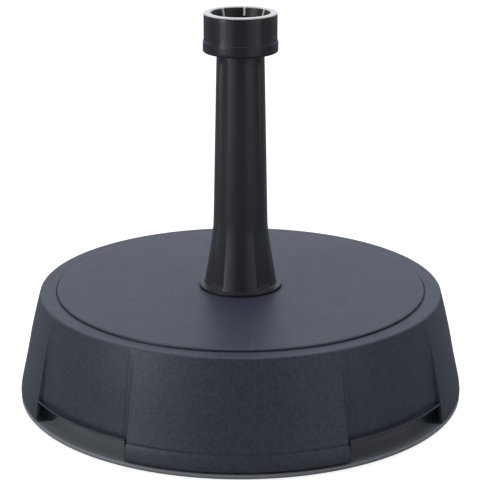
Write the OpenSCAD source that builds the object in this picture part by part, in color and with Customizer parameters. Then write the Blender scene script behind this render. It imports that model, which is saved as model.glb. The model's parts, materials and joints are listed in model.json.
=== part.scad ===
// Free-standing parasol base: a concrete-weighted round foot in a moulded shell,
// a fluted stem bolted to its centre, and a collet clamp that grips the pole.
// Origin: centre of the footprint on the ground. +Z up. Millimetres.

/* [Shell] */
// Overall diameter at the foot of the skirt
base_d = 449; // [436:1:460]
// Height of the raised disc above the ground
disc_z = 114; // [106:0.5:118]
// Diameter of the shell at its top rim
rim_d = 404.4; // [396:0.4:410]
// Diameter of the raised disc
disc_d = 370; // [350:1:382]
// Step from the rim up to the raised disc
disc_step = 2; // [0.8:0.1:2]
// Wall thickness of the shell
shell_t = 3.1; // [2.6:0.1:3.6]

/* [Hand grips] */
// Angle that each grip opening takes up, in degrees
grip_a = 34; // [30:1:36]
// How far the panel over a grip is set in at its foot
grip_set = 4.8; // [3:0.2:6]
// Height of the top of the grip lip above the ground
lip_z = 28.7; // [27:0.1:30]
// Thickness of the grip lip
lip_t = 1.5; // [1.2:0.1:2.4]

/* [Stem] */
// Diameter of the stem just under the clamp nut
stem_top_d = 47.2; // [46:0.2:49]
// Diameter of the stem where the cone of its foot begins
stem_low_d = 54.4; // [52:0.2:57]
// Height at which the cone of the foot begins
kink_z = 178; // [165:1:190]
// Diameter of the cone at the flange
stem_foot_d = 72.8; // [71:0.2:76]
// Diameter of the stem's flange
flange_d = 82.9; // [80:0.1:88]
// Depth of the four flutes
flute_depth = 2.2; // [1.2:0.1:2.4]

/* [Pole clamp] */
// Bore for the pole
bore_d = 39.2; // [36.2:0.2:39.4]
// Height of the top of the clamp head
top_z = 392; // [388:1:402]
// Outer diameter of the clamp nut
nut_d = 72; // [71.6:0.1:74]
// Diameter of the wider band at the foot of the nut
nut_band_d = 73.8; // [72.6:0.2:76]
// Width of the slots between the collet fingers
slot_w = 4; // [3.6:0.1:4.4]
// Turn of the clamp head's slots about the pole axis, in degrees
slot_turn = 83; // [60:1:105]

/* [Hidden] */
$fn = 96;

base_r = base_d / 2;
rim_r = rim_d / 2;
disc_r = disc_d / 2;
bore_r = bore_d / 2;
rim_z = disc_z - disc_step;          // top of the rim
seam_z = 25.3;                       // step between skirt and foot band
skirt_z = 31.5;                      // where the straight skirt starts to flare
skirt_r = base_r - 4;                // skirt radius there
cone_k = (skirt_r - rim_r) / (rim_z - skirt_z);   // skirt radius gained per mm down
plate_z = rim_z - 3;                 // underside of the top plate
tray_z = 1.5;                        // underside of the tray
floor_z = 4.5;                       // upper face of the tray floor
wall_r = 197;                        // back wall of the grips
grip_x = (base_r - 3.5) * cos(grip_a / 2 - 0.15);  // outer corner of a grip scoop
grip_y = (base_r - 3.5) * sin(grip_a / 2 - 0.15);
screw_r = 206;                       // radius of the shell screws
bolt_r = 30;                         // radius of the stem bolts
gasket_t = 0.8;
foot_z = disc_z + gasket_t;          // underside of the stem flange
clamp = top_z - 392;                 // shift of the whole clamp head
wedge_k = 0.4663;                    // slope of the clamp wedge

function lobe_r(z) = rim_r + cone_k * (rim_z - z);
function panel_k() = (skirt_r - grip_set - rim_r) / (rim_z - lip_z);
function panel_r(z) = rim_r + panel_k() * (rim_z - z);
// part of the panel's set-in taken by the steep step at each end; the rest is a shallow facet
step_share = 0.55;
function mid_k() = cone_k - step_share * (cone_k - panel_k());
function mid_r(z) = rim_r + mid_k() * (rim_z - z);
// points of an arc about c, from angle a to b
function arc(c, r, a, b, n = 5) = [for (i = [0 : n]) [c[0] + r * cos(a + (b - a) * i / n), c[1] + r * sin(a + (b - a) * i / n)]];
// radius of the stem's conical foot
function foot_r(z) = stem_low_d / 2 + (stem_foot_d - stem_low_d) / 2 * pow(max(0, (kink_z - z) / (kink_z - foot_z - 2.6)), 1.15);

// a wedge of the full circle between two angles
module sector(a, b, z0, z1, r = 400) {
    m = (a + b) / 2;
    translate([0, 0, z0]) linear_extrude(z1 - z0)
        polygon([[0, 0], r * [cos(a), sin(a)], r * [cos((a + m) / 2), sin((a + m) / 2)], r * [cos(m), sin(m)],
                 r * [cos((b + m) / 2), sin((b + m) / 2)], r * [cos(b), sin(b)]]);
}

// solid of revolution with the outer shape of the shell
module shell_outer() {
    rotate_extrude($fn = 240) polygon(concat(
        [[0, 8.8], [base_r - 0.8, 8.8]],
        arc([base_r - 0.8, 9.6], 0.8, -90, 0, 3),
        [[base_r, 10.5], [base_r - 0.5, 15], [base_r - 1.4, 20], [base_r - 2.3, seam_z - 1.3], [base_r - 2.9, seam_z - 0.3],
         [base_r - 3.1, seam_z + 0.4], [base_r - 2.8, seam_z + 1.4], [skirt_r, skirt_z]],
        arc([lobe_r(rim_z) - 2.1, rim_z - 2.1], 2.1, 14, 90, 6),
        [[disc_r + 0.05, rim_z], [disc_r, rim_z + 0.1]],
        arc([disc_r - 0.6, disc_z - 0.6], 0.6, 0, 90, 3),
        [[0, disc_z]]));
}

// solid of revolution with the inner shape of the shell
module shell_inner() {
    rotate_extrude($fn = 240) polygon([[0, 8], [base_r - shell_t - 0.2, 8], [base_r - shell_t - 0.3, 12], [base_r - shell_t - 1.4, 20],
        [base_r - shell_t - 2.9, seam_z + 0.5], [skirt_r - shell_t, skirt_z], [lobe_r(plate_z) - shell_t, plate_z], [0, plate_z]]);
}

// the half space outside a plane that holds one generator of a cone: a = angle from the panel's middle,
// r0 = cone radius at the lip, k = its radius gained per mm down, tilt = turn of the plane in plan
module panel_side(s, a, r0, k, tilt) {
    rotate([0, 0, s * a]) translate([r0, 0, lip_z]) rotate([0, -atan(k), 0])
        rotate([0, 0, -s * tilt]) translate([0, -200, -40]) cube([60, 400, 160]);
}

// what is cut away to set one panel in, centred on +X
module panel_cut() {
    difference() {
        intersection() {
            panel_side(1, 17.4, lobe_r(lip_z), cone_k, 27);
            panel_side(-1, 17.4, lobe_r(lip_z), cone_k, 27);
            panel_side(1, 16, mid_r(lip_z), mid_k(), 9);
            panel_side(-1, 16, mid_r(lip_z), mid_k(), 9);
            translate([0, -200, lip_z]) cube([300, 400, rim_z - lip_z + 5]);
        }
        translate([0, 0, lip_z - 1]) cylinder(r1 = panel_r(lip_z - 1), r2 = panel_r(rim_z + 6), h = rim_z - lip_z + 7, $fn = 240);
    }
}

// the backing left inside the shell behind one panel, centred on +X
module panel_back() {
    intersection() {
        sector(-grip_a / 2 - 3, grip_a / 2 + 3, lip_z - lip_t, plate_z + 1);
        difference() {
            translate([0, 0, lip_z - lip_t]) cylinder(r = base_r + 2, h = plate_z - lip_z + lip_t + 1, $fn = 240);
            translate([0, 0, lip_z]) cylinder(r1 = panel_r(lip_z) - shell_t, r2 = panel_r(plate_z + 2) - shell_t, h = plate_z + 2 - lip_z, $fn = 240);
            translate([0, 0, 0]) cylinder(r = wall_r - 3, h = lip_z + 0.01, $fn = 240);
        }
    }
}

module top_cover() color("#565a63") {
    difference() {
        shell_outer();
        difference() {
            shell_inner();
            for (q = [45 : 90 : 315]) rotate([0, 0, q]) panel_back();
            // screw bosses with a web to the skirt
            for (q = [0 : 90 : 270], s = [-12, 12]) rotate([0, 0, q + s]) {
                translate([screw_r, 0, 7.6]) cylinder(r = 4.5, h = 72, $fn = 32);
                translate([screw_r + 2, -1.25, 12]) cube([20, 2.5, 66]);
            }
        }
        for (q = [45 : 90 : 315]) rotate([0, 0, q]) {
            panel_cut();
            difference() {
                sector(-grip_a / 2, grip_a / 2, -1, lip_z - lip_t);
                cylinder(r = wall_r - 3, h = 100, center = true, $fn = 240);
            }
        }
        for (q = [0 : 90 : 270], s = [-12, 12]) rotate([0, 0, q + s]) translate([screw_r, 0, 0]) cylinder(r = 2, h = 24, $fn = 32);
        translate([0, 0, 60]) cylinder(r = bore_r + 0.2, h = 80);
        for (q = [0 : 90 : 270]) rotate([0, 0, q]) translate([bolt_r, 0, 60]) cylinder(r = 3.4, h = 80, $fn = 32);
    }
}

// point of the scoop's slope, set in from the outer edge but never behind the back wall
function scoop_pt(d, z) = [max(wall_r - 1, base_r - d), z];

// outline of one grip scoop seen from above: its ends converge inwards
module scoop_plan() {
    k = tan(grip_a / 2 + 27);
    linear_extrude(lip_z) polygon([[grip_x - 50, 50 * k - grip_y], [grip_x, -grip_y], [base_r + 4, -grip_y - 1],
                                   [base_r + 4, grip_y + 1], [grip_x, grip_y], [grip_x - 50, grip_y - 50 * k]]);
}

module base_tray() color("#3f434a") {
    difference() {
        union() {
            rotate_extrude($fn = 240) polygon(concat(
                [[0, tray_z], [base_r - 4.2, tray_z]],
                arc([base_r - 3.4, tray_z + 3.2], 3.2, -80, -5, 6),
                arc([base_r - 2.2, 4.6], 2.0, 5, 85, 5),
                [[base_r - 6, 6.1], [base_r - 13, 4.9]],
                arc([wall_r + 9.4, floor_z + 9.2], 9.2, -90, -175, 6),
                [[wall_r, lip_z - lip_t], [wall_r - 2.8, lip_z - lip_t], [wall_r - 2.8, floor_z], [0, floor_z]]));
            // each grip is a scoop whose back rises in a smooth slope to the underside of the lip
            for (q = [45 : 90 : 315]) rotate([0, 0, q]) intersection() {
                scoop_plan();
                rotate_extrude($fn = 240) polygon([[wall_r - 2, floor_z - 0.5], [base_r - 3, floor_z - 0.5],
                    [base_r - 2.6, 6.55], [base_r - 7, 6.7], [base_r - 12, 7.2], [base_r - 16.5, 8.1], scoop_pt(20, 9.3), scoop_pt(22.7, 11.0),
                    scoop_pt(24.8, 13.5), scoop_pt(26.1, 17.0), scoop_pt(26.8, 21.5), scoop_pt(27.1, lip_z - lip_t), [wall_r - 2, lip_z - lip_t]]);
            }
            // screw bosses inside the lobes
            for (q = [0 : 90 : 270], s = [-12, 12]) rotate([0, 0, q + s]) translate([screw_r, 0, tray_z]) cylinder(r = 6.6, h = 6.0, $fn = 48);
        }
        for (q = [0 : 90 : 270], s = [-12, 12]) rotate([0, 0, q + s]) translate([screw_r, 0, 0]) {
            cylinder(r = 2.3, h = 20, $fn = 32);
            cylinder(r = 4.4, h = 5, $fn = 32);
        }
        for (q = [0 : 90 : 270]) rotate([0, 0, q]) translate([bolt_r, 0, 0]) cylinder(r = 6.6, h = 10, $fn = 48);
        cylinder(r = 4, h = 10, $fn = 32);
        // pockets for the rubber pads
        for (q = [0 : 45 : 315]) rotate([0, 0, q + 22.5]) translate([178, 0, 0]) cylinder(r = 14.1, h = 2.5, $fn = 64);
        // shallow moulded rings under the floor
        for (r = [70, 105, 140]) rotate_extrude($fn = 200) translate([r, 1]) square([6, 1.3]);
    }
}

module foot_pads() color("#1d1e20") {
    for (q = [0 : 45 : 315]) rotate([0, 0, q + 22.5]) translate([178, 0, 0]) rotate_extrude($fn = 64)
        polygon(concat([[0, 0]], arc([13, 1], 1, -90, 0, 3), [[14, 2.5], [0, 2.5]]));
}

module ballast_block() color("#9c9a94") {
    difference() {
        rotate_extrude($fn = 200) polygon([[0, floor_z], [192, floor_z], [193, 20], [193, plate_z - 8], [188, plate_z], [0, plate_z]]);
        cylinder(r = bore_r + 2.9, h = 200);
        for (q = [0 : 90 : 270]) rotate([0, 0, q]) translate([bolt_r, 0, 0]) {
            cylinder(r = 3.4, h = 200, $fn = 32);
            cylinder(r = 6.6, h = 13, $fn = 48);
        }
    }
}

module pole_socket_tube() color("#2b2d31") {
    difference() {
        translate([0, 0, floor_z]) cylinder(r = bore_r + 2.8, h = plate_z - floor_z);
        cylinder(r = bore_r, h = 200);
    }
}

module pole_stop() color("#242527") {
    difference() {
        translate([0, 0, floor_z]) cylinder(r = bore_r - 0.1, h = 5);
        cylinder(r = 4, h = 60, $fn = 32);
    }
}

module cover_screws() color("#b9bcc0") {
    for (q = [0 : 90 : 270], s = [-12, 12]) rotate([0, 0, q + s]) translate([screw_r, 0, 0]) difference() {
        union() {
            translate([0, 0, 2.4]) cylinder(r = 4.1, h = 2.6, $fn = 32);
            translate([0, 0, 4]) cylinder(r = 1.95, h = 18, $fn = 24);
        }
        // cross recess
        for (a = [0, 90]) rotate([0, 0, a]) translate([-2.2, -0.5, 2]) cube([4.4, 1, 1.8]);
    }
}

module stem_gasket() color("#151617") {
    difference() {
        translate([0, 0, disc_z]) cylinder(r = flange_d / 2 - 0.5, h = gasket_t, $fn = 160);
        cylinder(r = bore_r + 0.2, h = 200);
        for (q = [0 : 90 : 270]) rotate([0, 0, q]) translate([bolt_r, 0, 60]) cylinder(r = 3.4, h = 80, $fn = 32);
    }
}

// one flute, centred on +X: a tall run up the stem and a shallower one down its foot
module flute() {
    fr = 11;
    zt = 342 + clamp;
    c_top = stem_top_d / 2 + 0.08 - flute_depth + fr;
    c_mid = stem_low_d / 2 - flute_depth + fr;
    c_low = stem_foot_d / 2 - 0.9 + fr;
    tilt_up = atan((c_mid - c_top) / (zt - kink_z));
    tilt_low = atan((c_low - c_mid) / (kink_z - foot_z - 2));
    translate([c_top, 0, zt]) sphere(r = fr + 0.35, $fn = 64);
    translate([c_top, 0, zt]) rotate([0, -tilt_up, 0]) mirror([0, 0, 1]) cylinder(r = fr, h = (zt - kink_z) / cos(tilt_up), $fn = 64);
    translate([c_mid, 0, kink_z]) sphere(r = fr, $fn = 64);
    translate([c_mid, 0, kink_z]) rotate([0, -tilt_low, 0]) mirror([0, 0, 1]) cylinder(r = fr, h = (kink_z - foot_z - 3.6) / cos(tilt_low), $fn = 64);
}

module stem() color("#2f3237") {
    fl = flange_d / 2;
    sr = stem_top_d / 2;
    difference() {
        rotate_extrude($fn = 160) polygon(concat(
            [[0, foot_z], [fl - 0.5, foot_z]],
            arc([fl - 0.9, foot_z + 0.9], 0.9, -40, 80, 5),
            [[foot_r(foot_z + 2.6) + 1.2, foot_z + 2.1], [foot_r(foot_z + 2.6) + 0.35, foot_z + 2.6]],
            [for (i = [0 : 14]) let (z = foot_z + 3.4 + (kink_z - foot_z - 3.4) * i / 14) [foot_r(z), z]],
            [[sr + 0.02, 346 + clamp], [sr, 352 + clamp], [30.9, 358 + clamp], [30.9, 373.2 + clamp], [30.1, 374 + clamp], [0, 374 + clamp]]));
        cylinder(r = bore_r, h = 500);
        translate([0, 0, 355.6 + clamp]) cylinder(r = 27, h = 40);
        for (q = [45 : 90 : 315]) rotate([0, 0, q]) flute();
        for (q = [0 : 90 : 270]) rotate([0, 0, q]) translate([bolt_r, 0, 100]) cylinder(r = 4, h = foot_z + 9.8 - 100, $fn = 48);
    }
}

module thread_inserts() color("#b08d3c") {
    for (q = [0 : 90 : 270]) rotate([0, 0, q]) translate([bolt_r, 0, foot_z]) difference() {
        cylinder(r = 4, h = 9.2, $fn = 48);
        translate([0, 0, -1]) cylinder(r = 3.05, h = 20, $fn = 32);
    }
}

module stem_bolts() color("#a7abb0") {
    for (q = [0 : 90 : 270]) rotate([0, 0, q]) translate([bolt_r, 0, 0]) {
        translate([0, 0, 7.2]) rotate([0, 0, 30]) cylinder(r = 5.77, h = 4.2, $fn = 6);
        translate([0, 0, 10]) cylinder(r = 3, h = foot_z + 8.4 - 10, $fn = 32);
    }
}

module bolt_washers() color("#c4c7cb") {
    for (q = [0 : 90 : 270]) rotate([0, 0, q]) translate([bolt_r, 0, 11.4]) difference() {
        cylinder(r = 6.2, h = 1.6, $fn = 48);
        translate([0, 0, -1]) cylinder(r = 3.3, h = 4, $fn = 32);
    }
}

// ring that carries the collet fingers
module collet_ring() color("#1b1d20") {
    translate([0, 0, 355.6 + clamp]) difference() {
        cylinder(r = 26.95, h = 2.8, $fn = 120);
        translate([0, 0, -1]) cylinder(r = 21, h = 6);
    }
}

// one collet finger, k = 0 to 7
module collet_finger(k) color("#1b1d20") {
    a = slot_turn + 22.5 + 45 * k;
    translate([0, 0, clamp]) difference() {
        union() {
            intersection() {
                rotate_extrude($fn = 120) polygon([[23.5, 360], [26.3, 360], [26.3, 378.5], [32.1, 381.5], [32.1, 384],
                    [29.25, 391.2], [28.5, 391.2], [26.2, 383], [bore_r, 372.5], [bore_r, 363.5], [23.5, 361.6]]);
                sector(a - 22.5, a + 22.5, 350, 400, 60);
            }
            // rounded root that the finger flexes about
            rotate([0, 0, a]) translate([24.9, 4, 360]) rotate([90, 0, 0]) cylinder(r = 1.4, h = 8, $fn = 32);
        }
        for (s = [-22.5, 22.5]) rotate([0, 0, a + s]) translate([10, -slot_w / 2, 350]) cube([40, slot_w, 50]);
    }
}
module collet_finger_1() collet_finger(0);
module collet_finger_2() collet_finger(1);
module collet_finger_3() collet_finger(2);
module collet_finger_4() collet_finger(3);
module collet_finger_5() collet_finger(4);
module collet_finger_6() collet_finger(5);
module collet_finger_7() collet_finger(6);
module collet_finger_8() collet_finger(7);

// pale low-friction ring between nut and collet, with a rib in each slot
module glide_ring() color("#e9eaea") {
    translate([0, 0, clamp]) {
        rotate_extrude($fn = 120) polygon(concat(
            [[29.4 + 7.6 * wedge_k, 383.6], [33.6, 383.6], [33.6, 386.0], [34.15, 386.5], [34.15, 387.0], [33.6, 387.5], [33.6, 390.6], [35.4, 390.6]],
            arc([35.4, 391.1], 0.5, -60, 0, 3), arc([35.3, 391.4], 0.6, 0, 90, 4), arc([30.0, 391.4], 0.6, 90, 180, 4),
            [[29.4, 391.2]]));
        for (k = [0 : 7]) rotate([0, 0, slot_turn + 45 * k]) translate([0, 1, 0]) rotate([90, 0, 0]) linear_extrude(2)
            polygon([[28.75, 391.3], [26.45, 383.6], [33.2, 383.6], [33.2, 388], [31, 391.5], [29.2, 391.5]]);
    }
}

module clamp_nut() color("#24262a") {
    translate([0, 0, clamp]) rotate_extrude($fn = 160) polygon(concat(
        [[32, 353.5], [nut_band_d / 2 - 1.8, 353.5]],
        arc([nut_band_d / 2 - 1.8, 355.3], 1.8, -75, 0, 5),
        [[nut_band_d / 2, 364.4], [nut_d / 2 + 0.1, 365.6], [nut_d / 2, 366.4]],
        [[nut_d / 2, 389.9]], arc([nut_d / 2 - 0.7, 389.9], 0.7, 20, 90, 4),
        [[33.68, 390.6], [33.68, 387.65], [34.25, 387.1], [34.25, 386.4], [33.68, 385.85], [33.68, 377.5], [31, 376.5], [31, 354.6]]));
}

base_tray();
foot_pads();
ballast_block();
pole_socket_tube();
pole_stop();
top_cover();
cover_screws();
stem_gasket();
stem();
thread_inserts();
stem_bolts();
bolt_washers();
collet_ring();
collet_finger_1();
collet_finger_2();
collet_finger_3();
collet_finger_4();
collet_finger_5();
collet_finger_6();
collet_finger_7();
collet_finger_8();
glide_ring();
clamp_nut();
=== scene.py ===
import bpy, bmesh, math, json
import numpy as np
from mathutils import Vector, Matrix


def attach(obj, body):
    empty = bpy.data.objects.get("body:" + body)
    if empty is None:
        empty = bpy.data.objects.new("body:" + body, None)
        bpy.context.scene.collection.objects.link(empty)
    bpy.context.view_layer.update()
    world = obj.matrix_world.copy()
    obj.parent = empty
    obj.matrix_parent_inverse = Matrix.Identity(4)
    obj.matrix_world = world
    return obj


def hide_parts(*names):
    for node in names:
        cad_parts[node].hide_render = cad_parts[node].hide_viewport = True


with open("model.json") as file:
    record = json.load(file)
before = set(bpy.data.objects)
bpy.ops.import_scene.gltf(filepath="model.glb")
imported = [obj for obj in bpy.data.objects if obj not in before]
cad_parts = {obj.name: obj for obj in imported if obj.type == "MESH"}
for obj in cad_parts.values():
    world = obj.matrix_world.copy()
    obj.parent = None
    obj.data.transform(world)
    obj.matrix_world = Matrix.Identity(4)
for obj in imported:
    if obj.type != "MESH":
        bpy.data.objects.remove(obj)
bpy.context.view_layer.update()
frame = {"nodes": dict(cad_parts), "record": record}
N = frame["nodes"]
MM = 0.001

# ------------------------------------------------------------------ node helpers
def new_mat(name):
    m = bpy.data.materials.new(name)
    m.use_nodes = True
    nt = m.node_tree
    for n in list(nt.nodes):
        nt.nodes.remove(n)
    out = nt.nodes.new("ShaderNodeOutputMaterial")
    bsdf = nt.nodes.new("ShaderNodeBsdfPrincipled")
    nt.links.new(bsdf.outputs["BSDF"], out.inputs["Surface"])
    return m, nt, bsdf


def noise(nt, vec, scale, detail=2.0, rough=0.5, dist=0.0):
    n = nt.nodes.new("ShaderNodeTexNoise")
    n.inputs["Scale"].default_value = scale
    n.inputs["Detail"].default_value = detail
    n.inputs["Roughness"].default_value = rough
    n.inputs["Distortion"].default_value = dist
    nt.links.new(vec, n.inputs["Vector"])
    return n.outputs["Fac"]


def maprange(nt, val, a, b, c, d, clamp=True):
    n = nt.nodes.new("ShaderNodeMapRange")
    n.clamp = clamp
    n.inputs["From Min"].default_value = a
    n.inputs["From Max"].default_value = b
    n.inputs["To Min"].default_value = c
    n.inputs["To Max"].default_value = d
    nt.links.new(val, n.inputs["Value"])
    return n.outputs["Result"]


def math_n(nt, op, a, b=None, clamp=False):
    n = nt.nodes.new("ShaderNodeMath")
    n.operation = op
    n.use_clamp = clamp
    for i, v in enumerate((a, b)):
        if v is None:
            continue
        if isinstance(v, (int, float)):
            n.inputs[i].default_value = v
        else:
            nt.links.new(v, n.inputs[i])
    return n.outputs[0]


def mix_col(nt, fac, a, b, mode="MIX"):
    n = nt.nodes.new("ShaderNodeMix")
    n.data_type = "RGBA"
    n.blend_type = mode
    for sock, v in ((n.inputs[0], fac), (n.inputs[6], a), (n.inputs[7], b)):
        if isinstance(v, (int, float)):
            sock.default_value = v
        elif isinstance(v, (tuple, list)):
            sock.default_value = (*v[:3], 1.0)
        else:
            nt.links.new(v, sock)
    return n.outputs[2]


def coords(nt):
    t = nt.nodes.new("ShaderNodeTexCoord")
    return t.outputs["Object"]


def bump_chain(nt, bsdf, heights):
    """heights: list of (height socket, strength, distance in metres)"""
    prev = None
    for h, s, d in heights:
        b = nt.nodes.new("ShaderNodeBump")
        b.inputs["Strength"].default_value = s
        b.inputs["Distance"].default_value = d
        nt.links.new(h, b.inputs["Height"])
        if prev is not None:
            nt.links.new(prev, b.inputs["Normal"])
        prev = b.outputs["Normal"]
    nt.links.new(prev, bsdf.inputs["Normal"])


def edge_mask(nt, lo, hi):
    g = nt.nodes.new("ShaderNodeNewGeometry")
    return maprange(nt, g.outputs["Pointiness"], lo, hi, 0.0, 1.0)


def plastic(name, base, rough, grain=1100.0, grain_depth=0.00006, grain_strength=0.35,
            speckle=0.10, blotch=0.07, spec=0.5, wear=0.25, coat=0.0, rough_var=0.07, crevice_shade=0.0, wave=0.0, painted_height_shade=None):
    """Moulded plastic with an eroded grain: colour speckle, slow blotches, grain bump and a little wear on edges."""
    m, nt, bsdf = new_mat(name)
    v = coords(nt)
    big = noise(nt, v, 9.0, 3.0, 0.55)
    fine = noise(nt, v, grain * 0.55, 2.0, 0.6)
    micro = noise(nt, v, grain, 2.0, 0.6)
    dark = tuple(c * (1 - blotch) for c in base)
    light = tuple(min(1, c * (1 + blotch)) for c in base)
    col = mix_col(nt, maprange(nt, big, 0.3, 0.7, 0, 1), dark, light)
    sp = maprange(nt, fine, 0.36, 0.64, 1 - speckle, 1 + speckle)
    col = mix_col(nt, 1.0, col, mix_col(nt, 1.0, (1, 1, 1), sp, "MULTIPLY"), "MULTIPLY")
    if wear > 0:
        e = math_n(nt, "MULTIPLY", edge_mask(nt, 0.52, 0.60), maprange(nt, noise(nt, v, 60, 3, 0.6), 0.35, 0.65, 0.2, 1.0))
        e = math_n(nt, "MULTIPLY", e, wear)
        worn = tuple(min(1, c * 1.9 + 0.02) for c in base)
        col = mix_col(nt, e, col, worn)
    if painted_height_shade:                    # painted light and shade by height, lighter low down and darker high up: (low z, high z, factor low, factor high)
        sep = nt.nodes.new("ShaderNodeSeparateXYZ")
        nt.links.new(v, sep.inputs[0])
        fac = maprange(nt, sep.outputs["Z"], painted_height_shade[0], painted_height_shade[1], painted_height_shade[2], painted_height_shade[3])
        col = mix_col(nt, 1.0, col, mix_col(nt, 1.0, (1, 1, 1), fac, "MULTIPLY"), "MULTIPLY")
    if crevice_shade > 0:                # painted shade: colour and specular are darkened by ambient occlusion in the grooves and inside corners
        ao = nt.nodes.new("ShaderNodeAmbientOcclusion")
        ao.samples = 6
        ao.inputs["Distance"].default_value = 0.007
        g = maprange(nt, ao.outputs["AO"], 0.30, 0.88, crevice_shade, 0.0)
        col = mix_col(nt, g, col, tuple(c * 0.12 for c in base))
        nt.links.new(maprange(nt, g, 0.0, 1.0, spec, 0.0), bsdf.inputs["Specular IOR Level"])
    nt.links.new(col, bsdf.inputs["Base Color"])
    r = maprange(nt, noise(nt, v, 34.0, 3.0, 0.6), 0.3, 0.7, rough - rough_var, rough + rough_var)
    nt.links.new(r, bsdf.inputs["Roughness"])
    if crevice_shade <= 0:
        bsdf.inputs["Specular IOR Level"].default_value = spec
    bsdf.inputs["IOR"].default_value = 1.5
    if coat:
        bsdf.inputs["Coat Weight"].default_value = coat
        bsdf.inputs["Coat Roughness"].default_value = 0.35
    chain = [(micro, grain_strength, grain_depth), (fine, grain_strength * 0.6, grain_depth * 1.4)]
    if wave > 0:
        chain.append((noise(nt, v, 40, 2, 0.5), wave, 0.0006))
    bump_chain(nt, bsdf, chain)
    return m


def concrete(name):
    m, nt, bsdf = new_mat(name)
    v = coords(nt)
    a = noise(nt, v, 30, 6, 0.65)
    b = noise(nt, v, 320, 3, 0.6)
    col = mix_col(nt, maprange(nt, a, 0.3, 0.7, 0, 1), (0.26, 0.25, 0.235), (0.42, 0.41, 0.38))
    col = mix_col(nt, maprange(nt, b, 0.55, 0.7, 0, 0.6), col, (0.16, 0.155, 0.15))
    nt.links.new(col, bsdf.inputs["Base Color"])
    bsdf.inputs["Roughness"].default_value = 0.92
    bump_chain(nt, bsdf, [(a, 0.5, 0.0012), (b, 0.5, 0.0005)])
    return m


def metal(name, base, rough):
    m, nt, bsdf = new_mat(name)
    v = coords(nt)
    a = noise(nt, v, 220, 4, 0.6)
    col = mix_col(nt, maprange(nt, a, 0.3, 0.7, 0, 1), tuple(c * 0.82 for c in base), base)
    nt.links.new(col, bsdf.inputs["Base Color"])
    bsdf.inputs["Metallic"].default_value = 1.0
    nt.links.new(maprange(nt, a, 0.3, 0.7, rough - 0.08, rough + 0.1), bsdf.inputs["Roughness"])
    bump_chain(nt, bsdf, [(noise(nt, v, 900, 2, 0.6), 0.2, 0.00003)])
    return m


def rubber(name, base=(0.013, 0.013, 0.014)):
    m, nt, bsdf = new_mat(name)
    v = coords(nt)
    a = noise(nt, v, 500, 3, 0.6)
    col = mix_col(nt, maprange(nt, noise(nt, v, 25, 3, 0.6), 0.3, 0.7, 0, 1), base, tuple(c * 1.6 for c in base))
    nt.links.new(col, bsdf.inputs["Base Color"])
    nt.links.new(maprange(nt, a, 0.3, 0.7, 0.7, 0.9), bsdf.inputs["Roughness"])
    bump_chain(nt, bsdf, [(a, 0.3, 0.00008)])
    return m


MAT = {
    "shell_plastic": plastic("shell_plastic", (0.047, 0.056, 0.079), 0.46, grain=620, grain_depth=0.00012, grain_strength=0.45, speckle=0.20, blotch=0.015, wear=0.2, rough_var=0.02, crevice_shade=0.85),
    # tray_plastic: a lighter grey than the shell, raised further as painted light to make up for the shade under the
    # ledge; its colour is also scaled by height as painted light and shade
    "tray_plastic": plastic("tray_plastic", (0.165, 0.178, 0.195), 0.48, grain=1400, grain_depth=0.00004, speckle=0.06, blotch=0.02, crevice_shade=0.3, painted_height_shade=(0.0070, 0.0175, 1.70, 0.32)),
    "stem_plastic": plastic("stem_plastic", (0.024, 0.028, 0.035), 0.36, grain=1300, grain_depth=0.00005, speckle=0.06, crevice_shade=0.7),
    "nut_plastic": plastic("nut_plastic", (0.019, 0.0225, 0.031), 0.33, grain=1500, grain_depth=0.00004, speckle=0.05, crevice_shade=0.6),
    "collet_plastic": plastic("collet_plastic", (0.020, 0.022, 0.026), 0.38, grain=1500, grain_depth=0.00004, speckle=0.05),
    # glide_plastic: a pale liner ring whose light colour is pushed to near white as painted highlight for the gloss on
    # the rim
    "glide_plastic": plastic("glide_plastic", (0.98, 0.95, 0.88), 0.38, grain=1500, grain_depth=0.00003, speckle=0.02, blotch=0.02, wear=0.0),
    "socket_plastic": plastic("socket_plastic", (0.025, 0.027, 0.030), 0.5, grain=1200),
    "rubber": rubber("rubber"),
    "concrete": concrete("concrete"),
    "zinc_steel": metal("zinc_steel", (0.62, 0.63, 0.65), 0.36),
    "brass": metal("brass", (0.66, 0.48, 0.21), 0.32),
}
SLOT = {s["node"]: s["material_slot"] for s in frame["record"]["subparts"]}


def paint(obj, slot):
    obj.data.materials.clear()
    obj.data.materials.append(MAT[slot])
    for p in obj.data.polygons:
        p.material_index = 0


for n, o in N.items():
    o.data.materials.clear()
    o.data.materials.append(MAT[SLOT[n]])

# ------------------------------------------------------------------ new meshes (millimetres in, metres out)
def smin(a, b, k):
    h = max(0.0, min(1.0, 0.5 + 0.5 * (b - a) / k))
    return b * (1 - h) + a * h - k * h * (1 - h)


def smax(a, b, k):
    return -smin(-a, -b, k)


def ring_mesh(name, angles, column, slot_name, body, sharp=38.0, replaces=None):
    """A closed ring: column(angle in degrees) gives the same number of (radius, z) points round a closed section."""
    cols = [column(a) for a in angles]
    n, m = len(cols), len(cols[0])
    verts = []
    for a, c in zip(angles, cols):
        ca, sa = math.cos(math.radians(a)), math.sin(math.radians(a))
        for r, z in c:
            verts.append((r * ca * MM, r * sa * MM, z * MM))
    faces = []
    for i in range(n):
        i2 = (i + 1) % n
        for j in range(m):
            j2 = (j + 1) % m
            faces.append((i * m + j, i2 * m + j, i2 * m + j2, i * m + j2))
    return solid(name, verts, faces, slot_name, body, sharp, replaces)


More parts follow.
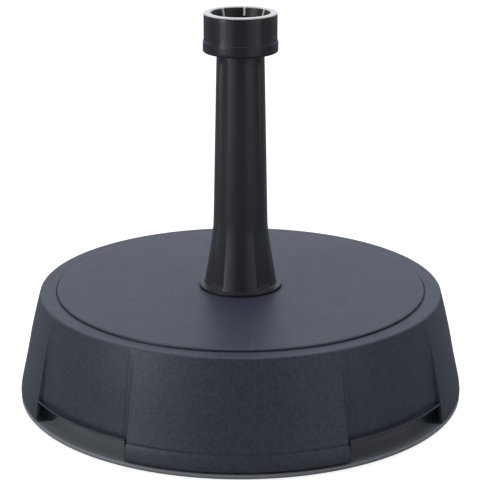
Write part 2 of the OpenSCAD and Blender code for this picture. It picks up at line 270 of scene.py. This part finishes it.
def solid(name, verts, faces, slot_name, body, sharp=38.0, replaces=None):
    me = bpy.data.meshes.new(name)
    me.from_pydata(verts, [], faces)
    me.validate()
    bm = bmesh.new()
    bm.from_mesh(me)
    if bm.calc_volume(signed=True) < 0:
        bmesh.ops.reverse_faces(bm, faces=bm.faces)
    bm.to_mesh(me)
    bm.free()
    for p in me.polygons:
        p.use_smooth = True
    me.set_sharp_from_angle(angle=math.radians(sharp))
    o = bpy.data.objects.new(name, me)
    bpy.context.scene.collection.objects.link(o)
    me.materials.append(MAT[slot_name])
    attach(o, body)
    if replaces:
        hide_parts(*replaces)
    return o


RIM_Z, DISC_Z, PLATE_Z = 112.0, 114.0, 109.0
LIP_Z = 28.7
K_LOBE, K_PANEL = 0.22733, 0.16206


def lobe_r(z):
    return 202.2 + K_LOBE * (RIM_Z - z)


def panel_r(z):
    return 202.2 + K_PANEL * (RIM_Z - z)


def shelf_r(z, share):
    """Radius at which the given share of the panel's set-in is reached."""
    return lobe_r(z) - share * (lobe_r(z) - panel_r(z))


def plane_r(rg, a, t, f):
    return rg * math.cos(math.radians(t)) / math.cos(math.radians(f - a + t))


def skirt(z, f):
    """Outer radius of the skirt at height z, f degrees from the middle of the nearest grip."""
    if f > 18.6:
        return lobe_r(z)
    inner = panel_r(z)
    if f > 3:
        inner = smax(inner, plane_r(shelf_r(z, 0.80), 15.6, 6.6, f), 0.12)
    deep = min(1.0, (lobe_r(z) - panel_r(z)) / 3.0)
    # bead and crease along the foot of the step
    inner += deep * (0.60 * math.exp(-((f - 15.95) / 0.30) ** 2) - 0.15 * math.exp(-((f - 15.30) / 0.22) ** 2))
    if f > 15.5:
        inner = smax(inner, plane_r(lobe_r(z), 17.4, 66.0, f), 0.15)
    return smin(lobe_r(z), inner, 0.30)


def fullness(z):
    """The skirt bows out very slightly between its foot and the rim."""
    t = min(1.0, max(0.0, (z - 40.0) / 68.0))
    return 4 * t * (1 - t) if t > 0.5 else (2 * t) ** 2 * (3 - 4 * t)


def shell_column(a):
    q = (a - 45.0) % 90.0
    f = q if q <= 45 else 90 - q
    pts = [(19.8, 109.2), (19.8, 113.4), (20.2, 113.9), (20.8, 114), (45, 114), (75, 114), (105, 114), (135, 114),
           (160, 114), (176, 114), (181.5, 114), (183.4, 113.98), (184.2, 113.8), (184.75, 113.45), (185.0, 112.9),
           (185.02, 112), (185.15, 111.55), (185.6, 111.4), (186.1, 111.55), (186.45, 111.92), (187.2, 112),
           (190, 112), (195, 112), (199.4, 112)]
    c = (200.4, 109.8)
    for d in (84, 68, 54, 41, 30, 20):
        pts.append((c[0] + 2.2 * math.cos(math.radians(d)), c[1] + 2.2 * math.sin(math.radians(d))))
    for z in (109.1, 105, 100, 94, 88, 82, 76, 70, 64, 58, 52, 47, 42, 38.5, 35.5, 33.2):
        pts.append((skirt(z, f) + 0.7 * fullness(z), z))
    win = f < 17.0
    if not win:
        e = 0.0
        if f < 17.45:            # rounded upright edge of the foot band
            u = (17.45 - f) / 0.45
            e = 0.9 * (1 - math.sqrt(max(0.0, 1 - u * u)))
        sk = skirt(31.5, f)
        d = 220.5 - sk           # the step of the set-in panel still shows just inside the lobe's edge
        pts += [(sk, 31.5), (221.1 - 0.85 * d, 28.6), (221.5 - 0.7 * d, 27.2), (221.62 - 0.6 * d, 26.4), (221.42 - 0.5 * d, 25.6), (221.5 - e, 24.7),
                (222.0 - e, 23.7), (222.5 - e, 22.4), (223.05 - e, 20), (223.95 - e, 15), (224.42 - e, 11), (224.42 - e, 9.7),
                (224.2 - e, 9.05), (223.7 - e, 8.8), (222.3, 8.8), (221.75, 9.0), (221.45, 9.5), (220.9, 15), (219.6, 22.8),
                (219.0, 26.6), (218.95, 27.4), (218.9, 27.6), (218.8, 27.8), (218.7, 28.0), (218.6, 28.2), (218.5, 28.4),
                (218.4, 28.6), (218.3, 28.9), (218.1, 29.3), (217.9, 30.0), (217.4, 31.5)]
    else:
        s31, s296, s29, p = skirt(31, f), skirt(29.6, f), skirt(28.9, f), panel_r(30) - 3.1
        pts += [(s31, 31.0), (s296, 29.5), (s29 + 0.12, 28.1), (s29 + 0.6, 27.62), (max(218.6, s29 + 1.2), 27.6), (max(220.1, s29 + 1.9), 28.2),
                (221.1, 28.78), (221.6, 28.7), (221.9, 28.45), (221.98, 28.1), (221.98, 27.9), (221.9, 27.65), (221.75, 27.45),
                (221.5, 27.3), (221.2, 27.22), (220.9, 27.2), (220.6, 27.2), (220.2, 27.2), (219.8, 27.2), (219.0, 27.2),
                (212, 27.2), (204, 27.2), (196, 27.2), (194.4, 27.25), (194.0, 27.5), (194.0, 28.5), (194.4, 28.75),
                (204, 28.0), (212, 28.0), (p, 29.4), (panel_r(32) - 3.1, 32)]
    for z in (60, 90, 109):
        pts.append(((panel_r(z) if win else lobe_r(z)) - 3.1, z))
    pts += [(150, 109), (90, 109), (40, 109), (20.2, 109)]
    return pts


def shell_angles():
    half = [0, 2.5, 5, 7.5, 9.2, 10.1, 10.8, 11.5, 12.4, 13.4, 14.4, 14.8, 15.0, 15.15, 15.3, 15.45, 15.6, 15.75, 15.95, 16.15,
            16.35, 16.5, 16.6, 16.7, 16.8, 16.9, 16.985,
            17.015, 17.06, 17.11, 17.16, 17.22, 17.28, 17.34, 17.40, 17.46, 17.54, 17.66, 17.85, 18.2, 18.8, 20, 22.5, 25, 27.5, 30, 32.5, 35, 37.5, 40, 42.5]
    out = []
    for q in (45, 135, 225, 315):
        out += [q - h for h in reversed(half[1:])] + [q + h for h in half]
        out.append(q + 45)
    return sorted({round(a % 360, 4) for a in out})


ring_mesh("top_cover_shell", shell_angles(), shell_column, "shell_plastic", "base", sharp=32, replaces=["top_cover"])


# stem: body of revolution with four flutes that end in an arch under the nut
def foot_r(z):
    return 27.2 + 9.2 * max(0.0, (178.0 - z) / (178.0 - 115.4)) ** 1.15


def stem_r(z):
    if z <= 178:
        base = foot_r(z)
        # the change of slope is eased over a few millimetres
        if z > 168:
            t = (z - 168) / 10
            base = base + 0.10 * t * t
        return base
    k = (23.62 - 27.2) / (346 - 178)
    base = 27.2 + k * (z - 178)
    if z < 188:
        t = (188 - z) / 10
        base += 0.10 * t * t
    return base


def flute(z, f):
    """Depth of the flute at height z, f degrees from its middle line."""
    zt, hz = 342.6, 6.4
    h0, d0 = 15.2, 2.25
    if z > zt + hz:
        return 0.0
    if z > zt:
        u = (z - zt) / hz
        h, d = h0 * max(0.0, 1 - u * u) ** 0.5, d0 * max(0.0, 1 - u * u) ** 0.45
    elif z > 178:
        h, d = h0, d0
    elif z > 119:
        t = (178 - z) / (178 - 119)
        h, d = h0 + 1.2 * t, d0 - 0.55 * t
    else:
        t = max(0.0, (z - 115.0) / 4.0)
        h, d = h0 + 1.2, (d0 - 0.55) * t
    if h < 0.3 or d <= 0:
        return 0.0
    return d * smax(0.0, 1 - (f / h) ** 2, 0.10) if f < h * 1.25 else 0.0


STEM_Z = [115.0, 115.6, 116.6, 117.8, 119.0, 121, 124, 128, 133, 138, 144, 150, 156, 162, 167, 171, 174, 177, 180, 183, 187, 192, 200,
          210, 220, 230, 240, 250, 260, 270, 280, 290, 300, 310, 320, 328, 334, 338, 340.6, 342.2, 343.2, 344.2, 345.2, 346.0, 346.8,
          347.4, 347.9, 348.3, 348.6, 348.85, 349.0, 349.3, 350.0, 351.2]


FOOT_LIFT = 2.0      # the foot of the stem stands on the raised disc


def stem_column(a):
    q = (a - 45.0) % 90.0
    f = q if q <= 45 else 90 - q
    fl = 41.45
    pts = [(19.6, 113.6), (19.9, 112.9), (20.3, 112.8), (30, 112.8), (fl - 0.9, 112.8), (fl - 0.45, 112.86), (fl - 0.12, 113.1),
           (fl, 113.5), (fl, 114.0), (fl - 0.12, 114.45), (fl - 0.4, 114.75), (fl - 0.85, 114.87), (39.6, 114.86), (38.6, 114.84),
           (37.75, 114.82), (37.3, 114.85)]
    for z in STEM_Z:
        r = stem_r(z)
        if z < 116.7:                                   # small fillet on to the flange
            r += 0.55 * (1 - (z - 115.0) / 1.7) ** 2
        pts.append((r - flute(z, f), z))
    pts = [(r, z + FOOT_LIFT * max(0.0, min(1.0, (178.0 - z) / (178.0 - 115.4)))) for r, z in pts]
    pts += [(23.6, 352.0), (25.4, 353.6), (28.2, 356.0), (30.9, 358.3), (30.9, 366), (30.9, 373.2), (30.6, 373.8), (30.1, 374),
            (27.4, 374), (27.0, 373.6), (27.0, 362), (27.0, 355.8), (26.6, 355.6), (20.2, 355.6), (19.6, 355.1),
            (19.6, 300), (19.6, 220), (19.6, 150)]
    return pts


def stem_angles():
    half = [0, 1.8, 3.6, 5.4, 7.2, 9, 10.5, 12, 13, 13.8, 14.5, 15.1, 15.7, 16.4, 17.3, 18.6, 20.5, 23, 26, 29, 32, 35, 38, 41.5]
    out = []
    for q in (45, 135, 225, 315):
        out += [q - h for h in half] + [q + h for h in half] + [q + 45]
    return sorted({round(a % 360, 4) for a in out})


ring_mesh("fluted_stem", stem_angles(), stem_column, "stem_plastic", "base", sharp=30, replaces=["stem"])


# clamp nut: plain sleeve with a wider, rounded foot band and a thread inside
def nut_column(a):
    pts = [(31.6, 353.9), (32.2, 353.5), (34.6, 353.5)]
    for d in (-78, -62, -46, -30, -14, 0):
        pts.append((35.1 + 1.8 * math.cos(math.radians(d)), 355.3 + 1.8 * math.sin(math.radians(d))))
    pts += [(36.9, 358), (36.9, 361), (36.9, 363.7), (36.84, 364.1), (36.66, 364.4), (36.35, 364.62), (36.14, 364.9), (36.05, 365.4),
            (36.0, 366.2), (36.0, 372), (36.0, 379), (36.0, 386), (36.0, 389.6), (35.93, 390.05), (35.7, 390.4), (35.35, 390.57), (35.0, 390.6),
            (34.1, 390.6), (33.75, 390.45), (33.68, 390.1), (33.68, 387.65), (34.25, 387.1), (34.25, 386.4), (33.68, 385.85),
            (33.68, 377.5)]
    # thread: a fine round-crested profile inside, below the sleeve
    z = 376.4
    while z > 355.4:
        pts += [(31.25, z), (31.9, z - 0.85)]
        z -= 1.7
    pts += [(31.3, 354.6)]
    return pts


ring_mesh("clamp_nut_sleeve", [i * 2.5 for i in range(144)], nut_column, "nut_plastic", "clamp_nut", sharp=34, replaces=["clamp_nut"])


# ------------------------------------------------------------------ stage
FLOOR_BOUNCE = 0.35


def stage_floor():
    me = bpy.data.meshes.new("studio_floor")
    s = 6.0
    me.from_pydata([(-s, -s, 0), (s, -s, 0), (s, s, 0), (-s, s, 0)], [], [(0, 1, 2, 3)])
    o = bpy.data.objects.new("studio_floor", me)
    bpy.context.scene.collection.objects.link(o)
    m, nt, bsdf = new_mat("studio_floor")
    v = coords(nt)
    # pale paper sweep: over-lit where the camera sees it, calmer in bounced light so that the sides keep their shape
    lp = nt.nodes.new("ShaderNodeLightPath")
    col = mix_col(nt, maprange(nt, noise(nt, v, 2.0, 3, 0.5), 0.3, 0.7, 0, 1), (0.52, 0.52, 0.52), (0.56, 0.56, 0.56))
    col = mix_col(nt, lp.outputs["Is Camera Ray"], (FLOOR_BOUNCE, FLOOR_BOUNCE, FLOOR_BOUNCE), col)
    nt.links.new(col, bsdf.inputs["Base Color"])
    bsdf.inputs["Roughness"].default_value = 0.9
    bsdf.inputs["Specular IOR Level"].default_value = 0.0
    bsdf.inputs["Emission Color"].default_value = (1, 1, 1, 1)
    nt.links.new(math_n(nt, "MULTIPLY", lp.outputs["Is Camera Ray"], 0.86), bsdf.inputs["Emission Strength"])
    o.data.materials.append(m)


stage_floor()

world = bpy.data.worlds.new("studio")
bpy.context.scene.world = world
world.use_nodes = True
wnt = world.node_tree
for n in list(wnt.nodes):
    wnt.nodes.remove(n)
wout = wnt.nodes.new("ShaderNodeOutputWorld")
wbg = wnt.nodes.new("ShaderNodeBackground")
wlp = wnt.nodes.new("ShaderNodeLightPath")
wmix = wnt.nodes.new("ShaderNodeMix")
wmix.data_type = "FLOAT"
wnt.links.new(wlp.outputs["Is Camera Ray"], wmix.inputs[0])
wmix.inputs[2].default_value = 0.06
wmix.inputs[3].default_value = 1.0
wnt.links.new(wmix.outputs[0], wbg.inputs["Strength"])
wbg.inputs["Color"].default_value = (1, 1, 1, 1)
wnt.links.new(wbg.outputs["Background"], wout.inputs["Surface"])


def area(name, loc, target, size, size_y, power, color=(1, 1, 1)):
    l = bpy.data.lights.new(name, "AREA")
    l.shape = "RECTANGLE"
    l.size, l.size_y = size, size_y
    l.energy = power
    l.color = color
    o = bpy.data.objects.new(name, l)
    bpy.context.scene.collection.objects.link(o)
    o.location = loc
    d = Vector(target) - Vector(loc)
    o.rotation_euler = d.to_track_quat("-Z", "Y").to_euler()
    return o


COOL = (0.92, 0.99, 1.14)
area("top_softbox", (0.0, 0.35, 2.1), (0, 0, 0.1), 2.6, 2.2, 26.5, COOL)
area("back_wall", (0.0, 2.6, 1.0), (0, 0, 0.15), 4.5, 2.0, 23, COOL)
area("left_strip_a", (-1.0, -1.73, 0.75), (0, 0, 0.15), 0.5, 1.3, 1.5)
area("left_strip_b", (-1.64, -1.15, 0.75), (0, 0, 0.15), 0.5, 1.3, 10.8)
area("left_strip_c", (-2.0, -0.17, 0.75), (0, 0, 0.15), 0.6, 1.3, 1.5)
area("left_strip_d", (-1.73, 1.0, 0.75), (0, 0, 0.15), 0.8, 1.3, 2.5)
area("right_strip_a", (1.0, -1.73, 0.75), (0, 0, 0.15), 0.5, 1.3, 1.1)
area("right_strip_b", (1.64, -1.15, 0.75), (0, 0, 0.15), 0.5, 1.3, 2.8)
area("right_strip_c", (2.0, -0.17, 0.75), (0, 0, 0.15), 0.6, 1.3, 1.4)
area("right_strip_d", (1.73, 1.0, 0.75), (0, 0, 0.15), 0.8, 1.3, 2.3)
area("left_low", (-1.25, -1.25, 0.12), (0, 0, 0.06), 1.2, 0.22, 1.0)
area("right_low", (1.25, -1.25, 0.12), (0, 0, 0.06), 1.2, 0.22, 1.15)

CAM_TURN = 0.85
cam = bpy.data.cameras.new("camera")
cam.sensor_width = 36.0
cam.lens = 131.9
cam.shift_x = -0.0011
cam.clip_start = 0.05
cam.clip_end = 60
cam_o = bpy.data.objects.new("camera", cam)
bpy.context.scene.collection.objects.link(cam_o)
cam_o.location = (1.688 * math.sin(math.radians(CAM_TURN)), -1.688 * math.cos(math.radians(CAM_TURN)), 0.692)
cam_o.rotation_mode = "XYZ"
cam_o.rotation_euler = (math.radians(90 - 17.465), 0, math.radians(CAM_TURN))
bpy.context.scene.camera = cam_o
vs = bpy.context.scene.view_settings
vs.view_transform = "Standard"
vs.look = "None"
vs.exposure = 0.0
vs.gamma = 1.0
